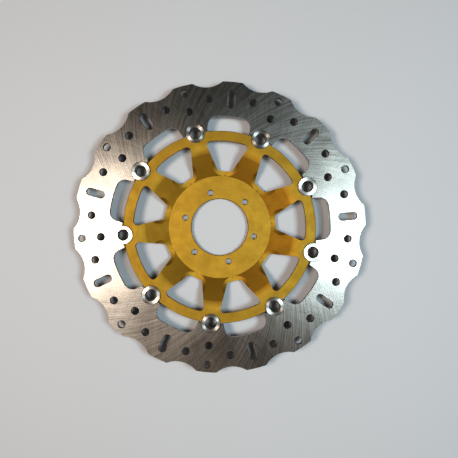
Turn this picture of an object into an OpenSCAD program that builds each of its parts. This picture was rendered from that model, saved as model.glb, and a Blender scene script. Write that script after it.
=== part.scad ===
// Floating brake disc rotor for a motorcycle.
// A scalloped steel friction ring floats on nine bobbins that key it to a dished aluminium carrier.
// The origin is the middle of the carrier's wheel face, and the disc turns about the Y axis:
// the wheel is on the +Y side and the outboard face looks along -Y. Lengths are in millimetres.

/* [Friction ring] */
// Outside diameter, over the lobes
disc_d = 320; // [312:1:324]
// Thickness of the ring
ring_t = 5; // [4.5:0.1:6]
// How far each scallop cuts in from the outside diameter
scallop_depth = 6.3; // [4.5:0.1:7]
// Radius of each scallop
scallop_r = 28.5; // [22:0.5:30]
// Rounding of the corners where a lobe meets a scallop
lobe_corner_r = 3; // [1:0.5:4]
// Radius of the circle on which the ears end
ear_r = 107; // [106.5:0.1:108]
// Radius that the openings between the ears reach out to
opening_r = 122.1; // [119:0.1:124]
// Width of each opening
opening_w = 46.6; // [42:0.1:48]
// Rounding of each opening's outer corners
opening_corner_r = 10; // [5:0.5:14]

/* [Vents] */
// Diameter of the vent holes and width of the slots
vent_d = 8.4; // [6:0.1:9]
// Radius of the middle row of vents
vent_row_r = 141.2; // [139:0.1:142]
// Distance from the middle row to the outer and the inner row
vent_row_step = 10.4; // [8:0.1:11]
// Edge break round every vent
vent_chamfer = 0.3; // [0.1:0.1:0.5]

/* [Bobbins] */
// Number of bobbins, and of ears and spokes
bobbin_count = 9; // [8:1:9]
// Radius of the circle through the bobbins' axes
bobbin_row_r = 105.8; // [105.4:0.1:106.2]
// Diameter of the flange
flange_d = 20.8; // [20:0.1:22]
// Thickness of the flange
flange_t = 2.2; // [1.8:0.1:3]
// Diameter of the shank
shank_d = 16.5; // [16:0.1:17]
// Diameter of the hole through the bobbin
bobbin_bore_d = 11.8; // [9:0.1:12.4]
// Axial float of the ring between the flanges and the washers, each way
float_gap = 0.3; // [0.1:0.05:0.5]

/* [Bobbin fixings] */
// Diameter of the flat washer
washer_d = 21; // [20:0.1:22]
// Thickness of the flat washer
washer_t = 0.8; // [0.5:0.1:1.2]
// Sheet thickness of the dished spring washer
spring_t = 0.5; // [0.3:0.05:0.6]
// Height of the dished spring washer as fitted
spring_h = 1.2; // [1.1:0.1:1.6]
// Thickness of the circlip
circlip_t = 1; // [0.8:0.1:1.2]
// Depth of the circlip's groove
groove_depth = 0.95; // [0.8:0.05:1]

/* [Carrier] */
// Outside radius of the rim
rim_r = 105.6; // [105:0.1:105.9]
// Height of the ring's inboard face above the wheel face
ring_offset = 15; // [14:0.5:17]
// Radius of the flat hub face
hub_r = 57.5; // [56:0.5:59]
// Thickness of the hub
hub_t = 6; // [5.5:0.1:7]
// Radius at which the dished spokes run out into the rim
dish_r = 94; // [91:0.5:94.5]
// Radius of the bend between the conical spokes and the flat rim
bend_r = 32; // [24:1:44]
// Radius at which the windows end under the rim
window_outer_r = 95; // [93:0.5:96]
// Distance from the axis to the windows' inner edges
window_inner_r = 63.1; // [61:0.1:65]
// Width of each window at its inner edge
window_inner_w = 15.7; // [13:0.1:17]
// Angle at which each side of a window opens out
window_flare = 30.5; // [27:0.5:31]
// Rounding of the windows' outer corners
window_corner_r = 4.4; // [2:0.1:6]
// Rounding of the windows' inner corners
window_inner_corner_r = 2.4; // [1:0.1:3]

/* [Hub] */
// Diameter of the centre bore
hub_bore_d = 64; // [58:0.5:65]
// Number of bolt holes
bolt_count = 6; // [3:1:8]
// Diameter of the bolt circle
bolt_circle_d = 80; // [78:0.5:90]
// Diameter of the bolt holes
bolt_hole_d = 6.6; // [6:0.1:8.5]

/* [Clocking] */
// Angle of the first bobbin above the horizontal
first_bobbin_angle = 24.75; // [0:0.25:45]
// Angle of the first bolt hole above the horizontal
first_bolt_angle = 44.75; // [0:0.25:60]

/* [Hidden] */
$fn = 96;
cut = 1;                    // how far a cutter runs past the face that it cuts
lap = 0.5;                  // how far two shapes that make one run into each other
proud = 0.005;              // corner circles stand this far proud of their sides, to cross them cleanly

disc_r = disc_d / 2;
sector = 360 / bobbin_count;
opening_overrun = 6;        // the openings are cut from this far inside the ears' ends
opening_inner_r = ear_r - opening_overrun;
scallop_centre_r = disc_r - scallop_depth + scallop_r;
rim_t = ring_t + 2 * float_gap;
rim_back = ring_offset - float_gap;
rim_front = rim_back + rim_t;

shank_r = shank_d / 2;
flange_r = flange_d / 2;
bobbin_bore_r = bobbin_bore_d / 2;
carrier_clearance = 0.05;   // turning clearance round the shank in the carrier's half holes
ring_clearance = 0.25;      // lash round the shank in the ring's half holes
fixing_clearance = 0.15;    // round the shank in the washers
seat_gap = 0.02;            // running gap from the rim to the flange and to the washer
flange_back = rim_front + seat_gap;
flange_front = flange_back + flange_t;
washer_back = rim_back - seat_gap - washer_t;
spring_back = washer_back - spring_h;
circlip_back = spring_back - circlip_t;
groove_r = shank_r - groove_depth;
groove_clearance = 0.05;
tail_length = 0.9;          // shank left behind the groove
shank_back = circlip_back - tail_length;

hub_step = 0.3;             // the spokes' feet stand this far above the hub face
pocket_step = 0.2;          // the hollows bottom out this far above the hub face
dish_drop = rim_front - hub_t - hub_step;
bend_z = rim_front - bend_r;
bend_overcut = 0.05;        // the cone cuts this far into the bend, to cross it cleanly
foot = [hub_r, hub_t + hub_step];
foot_to_bend = [dish_r, bend_z] - foot;
cone_angle = atan2(foot_to_bend[1], foot_to_bend[0])
    + asin((bend_r - bend_overcut) / norm(foot_to_bend));
cone_end_r = dish_r - bend_r * sin(cone_angle);
pocket_centre_r = hub_r + 0.5;
pocket_r = 30;
rim_chamfer = 0.5;
bore_chamfer = 0.5;
bolt_chamfer = 0.3;

fixing_names = ["bobbin", "washer", "spring_washer", "circlip"];

// Stands the disc up: what is drawn above z = 0 comes to lie outboard, along -Y.
module upright() {
    rotate([90, 0, 0]) children();
}

// Repeats a shape round the disc's axis, from the first bobbin's angle.
module round_disc(count = bobbin_count, start = first_bobbin_angle, r = 0) {
    for (i = [0 : count - 1])
        rotate(start + i * 360 / count) translate([r, 0]) children();
}

// The point at radius r and angle a.
function at_angle(r, a) = [r * cos(a), r * sin(a)];

// The angle at the origin of a triangle with sides a and b there and side c across from it.
function angle_between(a, b, c) = acos((a * a + b * b - c * c) / (2 * a * b));

// The same point on the other side of the X axis.
function mirrored(p) = [p[0], -p[1]];

// A window opening outwards along +X. Its sides leave the inner edge at the flare angle and
// end on an arc about the origin, with rounded outer corners and optional inner ones.
module sector_window(inner_r, inner_w, flare, outer_r, corner_r, inner_corner_r = 0) {
    side = [cos(flare), sin(flare)];
    inward = [sin(flare), -cos(flare)];
    start = [inner_r, inner_w / 2] + corner_r * inward;
    along = start * side;
    reach = -along + sqrt(along * along - start * start + pow(outer_r - corner_r, 2));
    corner = start + reach * side;
    inner_x = inner_r + inner_corner_r;
    inner_y = inner_w / 2 - inner_corner_r * (1 - sin(flare)) / cos(flare);
    inner_corner = [inner_x, inner_y];
    points = [
        [inner_r, inner_y],
        inner_corner - inner_corner_r * inward,
        corner - corner_r * inward,
        corner
    ];
    polygon(concat(points, [for (i = [3 : -1 : 0]) mirrored(points[i])]));
    intersection() {
        circle(outer_r, $fn = 240);
        polygon([corner, corner * 2, mirrored(corner * 2), mirrored(corner)]);
    }
    for (side_y = [1, -1]) {
        translate([corner[0], side_y * corner[1]]) circle(corner_r + proud);
        if (inner_corner_r > 0)
            translate([inner_x, side_y * inner_y]) circle(inner_corner_r + proud);
    }
}

// What is cut off one corner of a lobe to round it, for a scallop that lies along +X.
module lobe_corner_waste() {
    centre_r = disc_r - lobe_corner_r;
    centre_a = angle_between(centre_r, scallop_centre_r, scallop_r + lobe_corner_r);
    centre = at_angle(centre_r, centre_a);
    to_scallop = [scallop_centre_r, 0] - centre;
    reach = 2 * lobe_corner_r;
    difference() {
        polygon([
            centre,
            centre + reach * centre / norm(centre),
            centre + reach * to_scallop / norm(to_scallop)
        ]);
        translate(centre) circle(lobe_corner_r);
    }
}

// The ring's outer outline: a disc with a scallop between every two lobes.
module lobed_disc() {
    difference() {
        circle(disc_r, $fn = 360);
        round_disc(2 * bobbin_count, first_bobbin_angle + sector / 4) {
            translate([scallop_centre_r, 0]) circle(scallop_r, $fn = 180);
            lobe_corner_waste();
            mirror([0, 1]) lobe_corner_waste();
        }
    }
}

// A through hole along Z with both edges broken.
module chamfered_hole(r, bottom, top, chamfer) {
    translate([0, 0, bottom - cut]) cylinder(h = top - bottom + 2 * cut, r = r);
    translate([0, 0, bottom - cut])
        cylinder(h = chamfer + cut, r1 = r + chamfer + cut, r2 = r);
    translate([0, 0, top - chamfer])
        cylinder(h = chamfer + cut, r1 = r, r2 = r + chamfer + cut);
}

// The straight middle of a slot, with the same broken edges, along X.
module chamfered_slot_middle(length, r, bottom, top, chamfer) {
    flare = chamfer + cut;
    low = bottom - cut;
    high = top + cut;
    translate([-length / 2, 0, 0]) rotate([90, 0, 90]) linear_extrude(length)
        polygon([
            [-r - flare, low], [r + flare, low], [r, low + flare], [r, high - flare],
            [r + flare, high], [-r - flare, high], [-r, high - flare], [-r, low + flare]
        ]);
}

module vent_hole() {
    chamfered_hole(vent_d / 2, ring_offset, ring_offset + ring_t, vent_chamfer);
}

module vent_slot() {
    middle = 2 * vent_row_step - vent_d;
    chamfered_slot_middle(
        middle, vent_d / 2, ring_offset, ring_offset + ring_t, vent_chamfer
    );
    for (end = [-1, 1])
        translate([end * middle / 2, 0, 0]) vent_hole();
}

// In each sector: two holes on the bobbin's radius line, one hole each side of it, and a radial
// slot midway to the next bobbin.
module vents() {
    round_disc() {
        for (row = [-1, 1])
            translate([vent_row_r + row * vent_row_step, 0, 0]) vent_hole();
        for (side = [-1, 1])
            rotate(side * sector / 4) translate([vent_row_r, 0, 0]) vent_hole();
        rotate(sector / 2) translate([vent_row_r, 0, 0]) vent_slot();
    }
}

module friction_ring() {
    color("LightGray") upright() difference() {
        translate([0, 0, ring_offset]) linear_extrude(ring_t) difference() {
            lobed_disc();
            circle(ear_r, $fn = 240);
            round_disc(start = first_bobbin_angle + sector / 2)
                sector_window(opening_inner_r, opening_w, 0, opening_r, opening_corner_r);
            round_disc(r = bobbin_row_r) circle(shank_r + ring_clearance);
        }
        vents();
    }
}

// Everything under the spokes' front surface, in section, sunk square to itself by depth:
// a straight cone from the foot, then a bend that runs out level at dish_r.
module under_dish(depth) {
    low = -2 * bend_r;
    high = 2 * rim_front;
    slope = tan(cone_angle);
    foot_z = foot[1] - depth / cos(cone_angle);
    intersection() {
        polygon([
            [hub_r - cut, low], [dish_r, low],
            [dish_r, foot_z + (dish_r - hub_r) * slope], [hub_r - cut, foot_z - cut * slope]
        ]);
        union() {
            translate([hub_r - cut, low]) square([cone_end_r - hub_r + cut, high - low]);
            translate([dish_r, bend_z]) circle(bend_r - depth, $fn = 240);
        }
    }
}

// Half of the carrier's section, with the radius along X and the height above the wheel face along Y.
module carrier_section() {
    bore_r = hub_bore_d / 2;
    polygon([
        [bore_r + bore_chamfer, 0], [hub_r + cut, 0], [hub_r + cut, hub_t],
        [bore_r + bore_chamfer, hub_t], [bore_r, hub_t - bore_chamfer], [bore_r, bore_chamfer]
    ]);
    intersection() {
        difference() {
            under_dish(0);
            under_dish(rim_t);
        }
        translate([hub_r, 0]) square([dish_r - hub_r, rim_front + cut]);
    }
    polygon([
        [dish_r, rim_back], [rim_r - rim_chamfer, rim_back], [rim_r, rim_back + rim_chamfer],
        [rim_r, rim_front - rim_chamfer], [rim_r - rim_chamfer, rim_front], [dish_r, rim_front]
    ]);
}

// The round hollow that brings the dished face down to hub level in front of a window.
module window_pocket() {
    translate([0, 0, hub_t + pocket_step]) rotate_extrude() intersection() {
        translate([0, pocket_r]) circle(pocket_r);
        square([pocket_r, dish_drop + cut]);
    }
}

module carrier() {
    color("Goldenrod") upright() difference() {
        rotate_extrude($fn = 360) carrier_section();
        round_disc(start = first_bobbin_angle + sector / 2) {
            translate([0, 0, -cut]) linear_extrude(rim_front + 2 * cut)
                sector_window(
                    window_inner_r, window_inner_w, window_flare,
                    window_outer_r, window_corner_r, window_inner_corner_r
                );
            translate([pocket_centre_r, 0, 0]) window_pocket();
        }
        round_disc(r = bobbin_row_r) translate([0, 0, rim_back - cut])
            cylinder(h = rim_t + 2 * cut, r = shank_r + carrier_clearance);
        round_disc(bolt_count, first_bolt_angle, bolt_circle_d / 2)
            chamfered_hole(bolt_hole_d / 2, 0, hub_t, bolt_chamfer);
    }
}

// Puts a turned piece on the axis of bobbin i.
module on_bobbin(i) {
    upright() rotate(first_bobbin_angle + (i - 1) * sector)
        translate([bobbin_row_r, 0, 0]) children();
}

module bobbin(i) {
    edge = 0.5;
    countersink = 0.6;
    groove_top = spring_back;
    color("Silver") on_bobbin(i) rotate_extrude() polygon([
        [bobbin_bore_r, shank_back + edge], [bobbin_bore_r + edge, shank_back],
        [shank_r - edge, shank_back], [shank_r, shank_back + edge],
        [shank_r, circlip_back], [groove_r, circlip_back],
        [groove_r, groove_top], [shank_r, groove_top],
        [shank_r, flange_back], [flange_r, flange_back],
        [flange_r, flange_front - edge], [flange_r - edge, flange_front],
        [bobbin_bore_r + countersink, flange_front], [bobbin_bore_r, flange_front - countersink]
    ]);
}

module washer(i) {
    color("Gainsboro") on_bobbin(i) translate([0, 0, washer_back]) difference() {
        cylinder(h = washer_t, d = washer_d);
        translate([0, 0, -cut]) cylinder(h = washer_t + 2 * cut, r = shank_r + fixing_clearance);
    }
}

// The spring's outer edge bears on the flat washer and its inner edge on the circlip.
module spring_washer(i) {
    edge_inset = 0.3;
    inner_r = shank_r + fixing_clearance;
    outer_r = washer_d / 2 - edge_inset;
    color("DimGray") on_bobbin(i) rotate_extrude() polygon([
        [inner_r, spring_back], [outer_r, washer_back - spring_t],
        [outer_r, washer_back], [inner_r, spring_back + spring_t]
    ]);
}

// An open ring in the groove, with two eyes for circlip pliers beside its gap.
module circlip(i) {
    inner_r = groove_r + groove_clearance;
    band_w = 1.9;
    gap_w = 1.2;
    eye_r = 1.6;
    eye_hole_r = 0.7;
    eye_row_r = inner_r + lap + eye_r;
    eye_angle = 13;
    color("DimGray") on_bobbin(i) translate([0, 0, circlip_back]) linear_extrude(circlip_t)
        difference() {
            union() {
                circle(inner_r + band_w);
                for (side = [-1, 1])
                    rotate(side * eye_angle) translate([eye_row_r, 0]) circle(eye_r);
            }
            circle(inner_r);
            translate([0, -gap_w / 2]) square([washer_d, gap_w]);
            for (side = [-1, 1])
                rotate(side * eye_angle) translate([eye_row_r, 0]) circle(eye_hole_r);
        }
}

friction_ring();
carrier();
for (i = [1 : bobbin_count]) {
    bobbin(i);
    washer(i);
    spring_washer(i);
    circlip(i);
}
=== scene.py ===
"""Looks of a floating brake disc: swirl-ground steel ring, gold anodised carrier and turned
steel bobbins, standing upright in front of a plain pale wall. All lengths are in metres."""
import math

import bpy
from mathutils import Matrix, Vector


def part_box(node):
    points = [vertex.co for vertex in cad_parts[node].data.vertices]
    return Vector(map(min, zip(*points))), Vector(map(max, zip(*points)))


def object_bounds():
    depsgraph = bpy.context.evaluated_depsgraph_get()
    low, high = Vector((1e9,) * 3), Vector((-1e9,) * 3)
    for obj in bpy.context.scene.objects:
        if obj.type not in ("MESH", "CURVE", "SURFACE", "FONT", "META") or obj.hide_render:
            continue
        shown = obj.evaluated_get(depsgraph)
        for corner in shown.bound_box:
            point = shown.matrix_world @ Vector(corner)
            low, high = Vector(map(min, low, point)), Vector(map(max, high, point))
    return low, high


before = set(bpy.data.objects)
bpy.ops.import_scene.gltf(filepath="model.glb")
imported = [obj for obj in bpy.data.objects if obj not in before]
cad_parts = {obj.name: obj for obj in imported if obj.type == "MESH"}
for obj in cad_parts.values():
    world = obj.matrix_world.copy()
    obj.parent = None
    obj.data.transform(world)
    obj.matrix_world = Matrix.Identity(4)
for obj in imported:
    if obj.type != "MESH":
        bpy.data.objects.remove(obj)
cad_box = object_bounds()
low, high = cad_box
disc_radius = high.x
floor_level = low.z
ring_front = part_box("friction_ring")[0].y

# Linear colours
BLACK = (0.0, 0.0, 0.0)
STEEL = (0.258, 0.244, 0.218)
DARK_STEEL = (0.30, 0.285, 0.27)
BOBBIN_STEEL = (0.64, 0.63, 0.59)
GOLD = (0.525, 0.305, 0.031)
# Painted shade for the carrier's slopes and edges, where tilted faces look darker
SLOPE_SHADED_GOLD = (0.41, 0.203, 0.0175)
WALL = (0.82, 0.832, 0.855)
WARM = (1.0, 0.86, 0.76)
COOL = (0.74, 0.92, 1.0)

# Grinding swirl, as angles from the radial direction: of the finest grooves, which shape the
# highlights, and of the coarser scratches that show as streaks one way and, fainter, the other
SWIRL = math.radians(-25)
STREAK_LEAN = math.radians(-38)
CROSS_LEAN = math.radians(24)

# How far the bumps of each kind of surface rise
RING_RELIEF = 6e-6
CARRIER_RELIEF = 7e-6
TURNED_RELIEF = 8e-6


# ---------------------------------------------------------------- node helpers
class Graph:
    """Builds a node tree with short calls: each one adds a node and returns an output."""

    def __init__(self, tree):
        self.tree = tree
        self.tree.nodes.clear()

    def add(self, kind, inputs=None, **settings):
        node = self.tree.nodes.new(kind)
        for name, value in settings.items():
            setattr(node, name, value)
        for name, value in (inputs or {}).items():
            self.feed(node.inputs[name], value)
        return node

    def feed(self, socket, value):
        if isinstance(value, bpy.types.NodeSocket):
            self.tree.links.new(value, socket)
        elif isinstance(value, tuple) and socket.type == "RGBA" and len(value) == 3:
            socket.default_value = value + (1.0,)
        else:
            socket.default_value = value

    def math(self, operation, a, b=0.0, c=0.0):
        node = self.add("ShaderNodeMath", {0: a, 1: b, 2: c}, operation=operation)
        return node.outputs[0]

    def times(self, a, b):
        return self.math("MULTIPLY", a, b)

    def times_plus(self, a, b, c):
        """a times b, plus c."""
        return self.math("MULTIPLY_ADD", a, b, c)

    def vector(self, x, y, z):
        return self.add("ShaderNodeCombineXYZ", {0: x, 1: y, 2: z}).outputs[0]

    def split(self, vector):
        return self.add("ShaderNodeSeparateXYZ", {0: vector}).outputs

    def turn(self, vector, kind, source, target):
        """The vector, point or normal in another space."""
        node = self.add("ShaderNodeVectorTransform", {0: vector}, vector_type=kind,
                        convert_from=source, convert_to=target)
        return node.outputs[0]

    def noise(self, vector, scale=1.0, detail=2.0, roughness=0.5):
        node = self.add("ShaderNodeTexNoise", {"Vector": vector, "Scale": scale,
                                               "Detail": detail, "Roughness": roughness})
        return node.outputs[0]

    def remap(self, value, low, high, new_low=0.0, new_high=1.0):
        node = self.add("ShaderNodeMapRange", {0: value, 1: low, 2: high, 3: new_low, 4: new_high})
        return node.outputs[0]

    def mix(self, factor, a, b):
        node = self.add("ShaderNodeMix", data_type="RGBA")
        self.feed(node.inputs[0], factor)
        self.feed(node.inputs[6], a)
        self.feed(node.inputs[7], b)
        return node.outputs[2]

    def bump(self, height, depth):
        """A bumped normal, with the height's full swing worth depth metres."""
        inputs = {"Height": height, "Distance": depth, "Strength": 1.0}
        return self.add("ShaderNodeBump", inputs).outputs[0]


def new_material(name):
    material = bpy.data.materials.new(name)
    material.use_nodes = True
    return material, Graph(material.node_tree)


def scaled(colour, factor):
    return tuple(factor * channel for channel in colour)


def metal(graph, colour, roughness, normal, anisotropic=0.0, tangent=None):
    """Bare metal. It throws hardly any light onto matt surfaces, so gaps behind it stay dark."""
    kept_from_matt = 0.9
    bounced = graph.add("ShaderNodeLightPath").outputs["Is Diffuse Ray"]
    colour = graph.mix(graph.times(bounced, kept_from_matt), colour, BLACK)
    inputs = {"Base Color": colour, "Roughness": roughness, "Metallic": 1.0,
              "Anisotropic": anisotropic, "Normal": normal}
    if tangent is not None:
        inputs["Tangent"] = tangent
    shader = graph.add("ShaderNodeBsdfPrincipled", inputs)
    graph.add("ShaderNodeOutputMaterial", {"Surface": shader.outputs[0]})


def object_point(graph):
    """The shaded point in its object's own space, so a node's texture moves with its body."""
    return graph.add("ShaderNodeTexCoord").outputs["Object"]


def axis_radius(graph, x, z):
    """Distance from an axis parallel to Y."""
    return graph.math("SQRT", graph.times_plus(x, x, graph.times(z, z)))


def face_mask(graph, none=0.80, full=0.95):
    """1 on faces that look along the disc's axis, 0 on edges and bores."""
    normal = graph.turn(graph.add("ShaderNodeNewGeometry").outputs["True Normal"],
                        "NORMAL", "WORLD", "OBJECT")
    along_axis = graph.math("ABSOLUTE", graph.split(normal)[1])
    return graph.remap(along_axis, none, full)


# ---------------------------------------------------------------- friction ring
def swirl_streaks(graph, point, lean, width, length, seed):
    """Streaks of grinding grooves that cross the ring at a fixed angle to its radius."""
    x, _, z = graph.split(point)
    radius = axis_radius(graph, x, z)
    angle = graph.math("ARCTAN2", z, x)
    spiral = graph.times(graph.math("LOGARITHM", radius, math.e), math.tan(lean))
    unrolled = graph.math("SUBTRACT", angle, spiral)
    turns = disc_radius / width
    around_x = graph.times(graph.math("COSINE", unrolled), turns)
    around_z = graph.times(graph.math("SINE", unrolled), turns)
    outward = graph.times_plus(radius, 1.0 / length, seed)
    return graph.noise(graph.vector(around_x, around_z, outward), detail=3.0, roughness=0.6)


def ring_steel():
    material, g = new_material("ground_ring_steel")
    point = object_point(g)
    x, y, z = g.split(point)
    flat = face_mask(g)

    main = swirl_streaks(g, point, STREAK_LEAN, width=0.0014, length=0.034, seed=0.0)
    fine = swirl_streaks(g, point, STREAK_LEAN, width=0.0006, length=0.022, seed=7.0)
    cross = swirl_streaks(g, point, CROSS_LEAN, width=0.0012, length=0.030, seed=15.0)
    fine_share, cross_share = 0.5, 0.45
    streaks = g.times_plus(cross, cross_share, g.times_plus(fine, fine_share, main))
    face_rough = g.remap(streaks, 0.76, 1.19, new_low=0.215, new_high=0.300)

    # Edges and bores carry fine lines that run through the ring's thickness
    lines_across, lines_along = 900.0, 60.0
    lines = g.noise(g.vector(g.times(x, lines_across), g.times(y, lines_along),
                             g.times(z, lines_across)))
    edge_rough = g.remap(lines, 0.3, 0.7, new_low=0.36, new_high=0.52)
    rough = g.times_plus(flat, g.math("SUBTRACT", face_rough, edge_rough), edge_rough)

    darkest, brightest = 0.72, 1.29
    mottle = g.noise(point, scale=28.0, detail=3.0)
    shade = g.remap(g.times_plus(streaks, 0.8, mottle), 1.06, 1.50)
    face_colour = g.mix(shade, scaled(STEEL, darkest), scaled(STEEL, brightest))
    colour = g.mix(flat, DARK_STEEL, face_colour)

    # Grooves spread a highlight across themselves, so the tangent is square to them
    sin_swirl, cos_swirl = math.sin(SWIRL), math.cos(SWIRL)
    across_x = g.times_plus(x, -sin_swirl, g.times(z, -cos_swirl))
    across_z = g.times_plus(z, -sin_swirl, g.times(x, cos_swirl))
    across = g.turn(g.vector(across_x, 0.0, across_z), "VECTOR", "OBJECT", "WORLD")
    face_stretch = 0.43
    stretch = g.times(flat, face_stretch)

    height = g.math("ADD", g.times(main, flat), g.times(lines, 0.5))
    metal(g, colour, rough, g.bump(height, RING_RELIEF), stretch, across)
    return material


# ---------------------------------------------------------------- carrier
def carrier_anodised():
    material, g = new_material("gold_anodised_aluminium")
    point = object_point(g)
    x, _, z = g.split(point)
    flat = face_mask(g, 0.91, 0.99)
    radius = axis_radius(g, x, z)

    # Turning marks: fine bands that run round the disc's axis and change slowly along it
    bands_per_metre, changes_per_metre = 1300.0, 16.0
    marks = g.noise(g.vector(g.times(radius, bands_per_metre), g.times(x, changes_per_metre),
                             g.times(z, changes_per_metre)))
    grain = g.noise(point, scale=3200.0)
    mottle = g.noise(point, scale=90.0, detail=4.0, roughness=0.6)
    cloud = g.noise(point, scale=22.0)

    # The dye is uneven. The slopes get a painted shade, a darker and more orange gold, and the
    # colour is a little darker on the rim than on the hub
    unevenness, rim_darkening = 0.14, 0.13
    hub_side, rim_side = 0.084, 0.096
    patches = g.remap(g.times_plus(cloud, 0.5, mottle), 0.55, 0.95)
    tone = g.times_plus(marks, 0.5, patches)
    # Darker towards the rim than on the hub
    rim_tone = g.remap(radius, hub_side, rim_side, new_high=rim_darkening)
    # Painted shade: faces that tilt away from the axis take the darker, more orange gold
    gold_with_slope_shade = g.mix(flat, SLOPE_SHADED_GOLD, GOLD)
    colour = g.mix(g.times_plus(tone, unevenness, rim_tone), gold_with_slope_shade, BLACK)

    rough = g.remap(g.times_plus(marks, 0.5, mottle), 0.50, 1.00, new_low=0.53, new_high=0.62)
    metal(g, colour, rough, g.bump(g.times_plus(marks, 0.6, grain), CARRIER_RELIEF))
    return material


# ---------------------------------------------------------------- bobbins and their fixings
# Colour, smoothest and roughest turning, and stretch of the highlight
TURNED = {
    "bobbin": (BOBBIN_STEEL, 0.25, 0.33, 0.90),
    "washer": (DARK_STEEL, 0.35, 0.5, 0.3),
    "spring_washer": (DARK_STEEL, 0.3, 0.45, 0.3),
    "circlip": (DARK_STEEL, 0.3, 0.45, 0.3),
}


def turned_steel(name, centre, colour, smooth, rough, stretch):
    """Lathe-turned steel: fine rings around an axis parallel to Y through centre."""
    material, g = new_material(name)
    point = object_point(g)
    x, y, z = g.split(point)
    out_x = g.math("SUBTRACT", x, centre.x)
    out_z = g.math("SUBTRACT", z, centre.z)
    rings_per_metre = 2500.0
    rings = g.noise(g.vector(g.times(axis_radius(g, out_x, out_z), rings_per_metre),
                             g.times(y, rings_per_metre), 0.0))
    face_rough = g.remap(rings, 0.3, 0.7, smooth, rough)

    darkest, brightest = 0.90, 1.10
    mottle = g.noise(point, scale=300.0, detail=3.0)
    tone = g.remap(g.times_plus(rings, 0.5, mottle), 0.55, 0.95)
    colour = g.mix(tone, scaled(colour, darkest), scaled(colour, brightest))

    # Rings spread a highlight across themselves, along the radius
    across = g.turn(g.vector(out_x, 0.0, out_z), "VECTOR", "OBJECT", "WORLD")
    stretched = g.times(face_mask(g), stretch)
    metal(g, colour, face_rough, g.bump(rings, TURNED_RELIEF), stretched, across)
    return material


def middle(node):
    node_low, node_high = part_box(node)
    return (node_low + node_high) / 2


def finish_nodes():
    for name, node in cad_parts.items():
        if name == "friction_ring":
            material = ring_steel()
        elif name == "carrier":
            material = carrier_anodised()
        else:
            kind = name.rpartition("_")[0]
            material = turned_steel("turned_" + name, middle(name), *TURNED[kind])
        node.data.materials.clear()
        node.data.materials.append(material)


finish_nodes()

# ---------------------------------------------------------------- wall and floor
STAGE_HALF = 2.0
WALL_GAP = 0.0008       # between the disc's back and the wall
# Limits of the camera's frontness: a camera is square on from SQUARE_ON upwards, and below
# SIDE_ON it would see the wall edge on or from behind
SIDE_ON = 0.35
SQUARE_ON = 0.93
LEAST, MOST = -2.0, 2.0


def camera_frontness(graph):
    """How squarely the camera looks at the disc's outboard side: 1 square on, -1 from behind."""
    camera = graph.turn((0.0, 0.0, 0.0), "POINT", "CAMERA", "WORLD")
    direction = graph.add("ShaderNodeVectorMath", {0: camera}, operation="NORMALIZE").outputs[0]
    return graph.times(graph.split(direction)[1], -1.0)


def backdrop_material(name, shown_from, shown_to):
    """A matt pale surface that is there only while the camera's frontness is in a range."""
    material, g = new_material(name)
    frontness = camera_frontness(g)
    shown = g.times(g.math("GREATER_THAN", frontness, shown_from),
                    g.math("LESS_THAN", frontness, shown_to))
    tone = g.noise(object_point(g), scale=3.0, detail=3.0)
    colour = g.mix(g.remap(tone, 0.3, 0.7), WALL, scaled(WALL, 0.985))
    paper = g.add("ShaderNodeBsdfDiffuse", {"Color": colour}).outputs[0]
    clear = g.add("ShaderNodeBsdfTransparent").outputs[0]
    mixed = g.add("ShaderNodeMixShader", {0: shown, 1: clear, 2: paper})
    g.add("ShaderNodeOutputMaterial", {"Surface": mixed.outputs[0]})
    return material


def plane(name, corners, material):
    mesh = bpy.data.meshes.new(name)
    mesh.from_pydata(corners, [], [tuple(range(len(corners)))])
    obj = bpy.data.objects.new(name, mesh)
    bpy.context.scene.collection.objects.link(obj)
    mesh.materials.append(material)


wall_y = high.y + WALL_GAP
plane("backdrop_wall",
      [(-STAGE_HALF, wall_y, -STAGE_HALF), (STAGE_HALF, wall_y, -STAGE_HALF),
       (STAGE_HALF, wall_y, STAGE_HALF), (-STAGE_HALF, wall_y, STAGE_HALF)],
      backdrop_material("pale_wall", SIDE_ON, MOST))
plane("floor",
      [(-STAGE_HALF, -STAGE_HALF, floor_level), (STAGE_HALF, -STAGE_HALF, floor_level),
       (STAGE_HALF, STAGE_HALF, floor_level), (-STAGE_HALF, STAGE_HALF, floor_level)],
      backdrop_material("pale_floor", LEAST, SQUARE_ON))

# ---------------------------------------------------------------- lights
# The key lights stand on both sides of the camera and aim at the middle of the ring's front
KEY_SIDE = 0.46
KEY_AHEAD = 1.0
KEY_SIZE = 0.28
WARM_HEIGHT = -0.01
COOL_HEIGHT = -0.03
key_y = ring_front - KEY_AHEAD
ring_middle = (0.0, ring_front, 0.0)


def area_light(name, place, target, size, power, colour):
    light = bpy.data.lights.new(name, "AREA")
    light.shape = "SQUARE"
    light.size = size
    light.energy = power
    light.color = colour
    obj = bpy.data.objects.new(name, light)
    obj.location = place
    obj.rotation_euler = (Vector(target) - Vector(place)).to_track_quat("-Z", "Y").to_euler()
    obj.visible_camera = False
    bpy.context.scene.collection.objects.link(obj)


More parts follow.
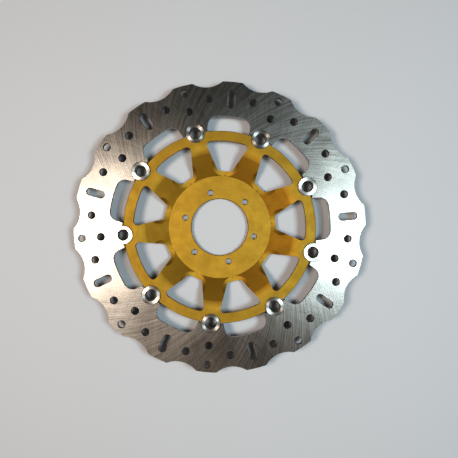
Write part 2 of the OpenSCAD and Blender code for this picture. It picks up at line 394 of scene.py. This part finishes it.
area_light("warm_left", (-KEY_SIDE, key_y, WARM_HEIGHT), ring_middle, KEY_SIZE,
           power=5.4, colour=WARM)
area_light("cool_right", (KEY_SIDE, key_y, COOL_HEIGHT), ring_middle, KEY_SIZE,
           power=5.15, colour=COOL)
area_light("back_fill", (0.5, 0.9, 0.7), (0, 0, 0), size=0.8,
           power=14.0, colour=(1.0, 0.98, 0.95))
area_light("back_side", (-0.8, 0.6, 0.3), (0, 0, 0), size=0.6,
           power=6.0, colour=(0.95, 0.98, 1.0))

# ---------------------------------------------------------------- surroundings
PAST_THE_STAGE = (0.80, 0.81, 0.82)
AHEAD_LOW = (0.185, 0.146, 0.119)
AHEAD_HIGH = (0.022, 0.026, 0.026)
ELSEWHERE = (0.40, 0.40, 0.41)
ELSEWHERE_SQUARE_ON = (0.035, 0.034, 0.033)


def room():
    """Pale surroundings for the camera, and the dim room that the metal mirrors."""
    world = bpy.data.worlds.new("room")
    world.use_nodes = True
    g = Graph(world.node_tree)
    _, y, z = g.split(g.add("ShaderNodeTexCoord").outputs["Generated"])
    ahead = g.mix(g.remap(z, -0.4, 0.4), AHEAD_LOW, AHEAD_HIGH)
    square_on = g.math("GREATER_THAN", camera_frontness(g), SQUARE_ON)
    elsewhere = g.mix(square_on, ELSEWHERE, ELSEWHERE_SQUARE_ON)
    mirrored = g.mix(g.remap(y, -0.80, -0.60), ahead, elsewhere)
    seen = g.add("ShaderNodeLightPath").outputs["Is Camera Ray"]
    colour = g.mix(seen, mirrored, PAST_THE_STAGE)
    background = g.add("ShaderNodeBackground", {"Color": colour})
    g.add("ShaderNodeOutputWorld", {"Surface": background.outputs[0]})
    bpy.context.scene.world = world


room()
bpy.context.scene.view_settings.view_transform = "Standard"

# ---------------------------------------------------------------- camera
CAMERA_AHEAD = 0.511    # in front of the ring's outboard face
camera_data = bpy.data.cameras.new("camera")
camera_data.lens = 36.6
camera_data.sensor_width = 36.0
camera_data.shift_x = 0.0131
camera_data.clip_start = 0.01
camera = bpy.data.objects.new("camera", camera_data)
camera.location = (0.0037, ring_front - CAMERA_AHEAD, -0.0022)
camera.rotation_euler = (math.radians(90), 0, 0)
bpy.context.scene.collection.objects.link(camera)
bpy.context.scene.camera = camera
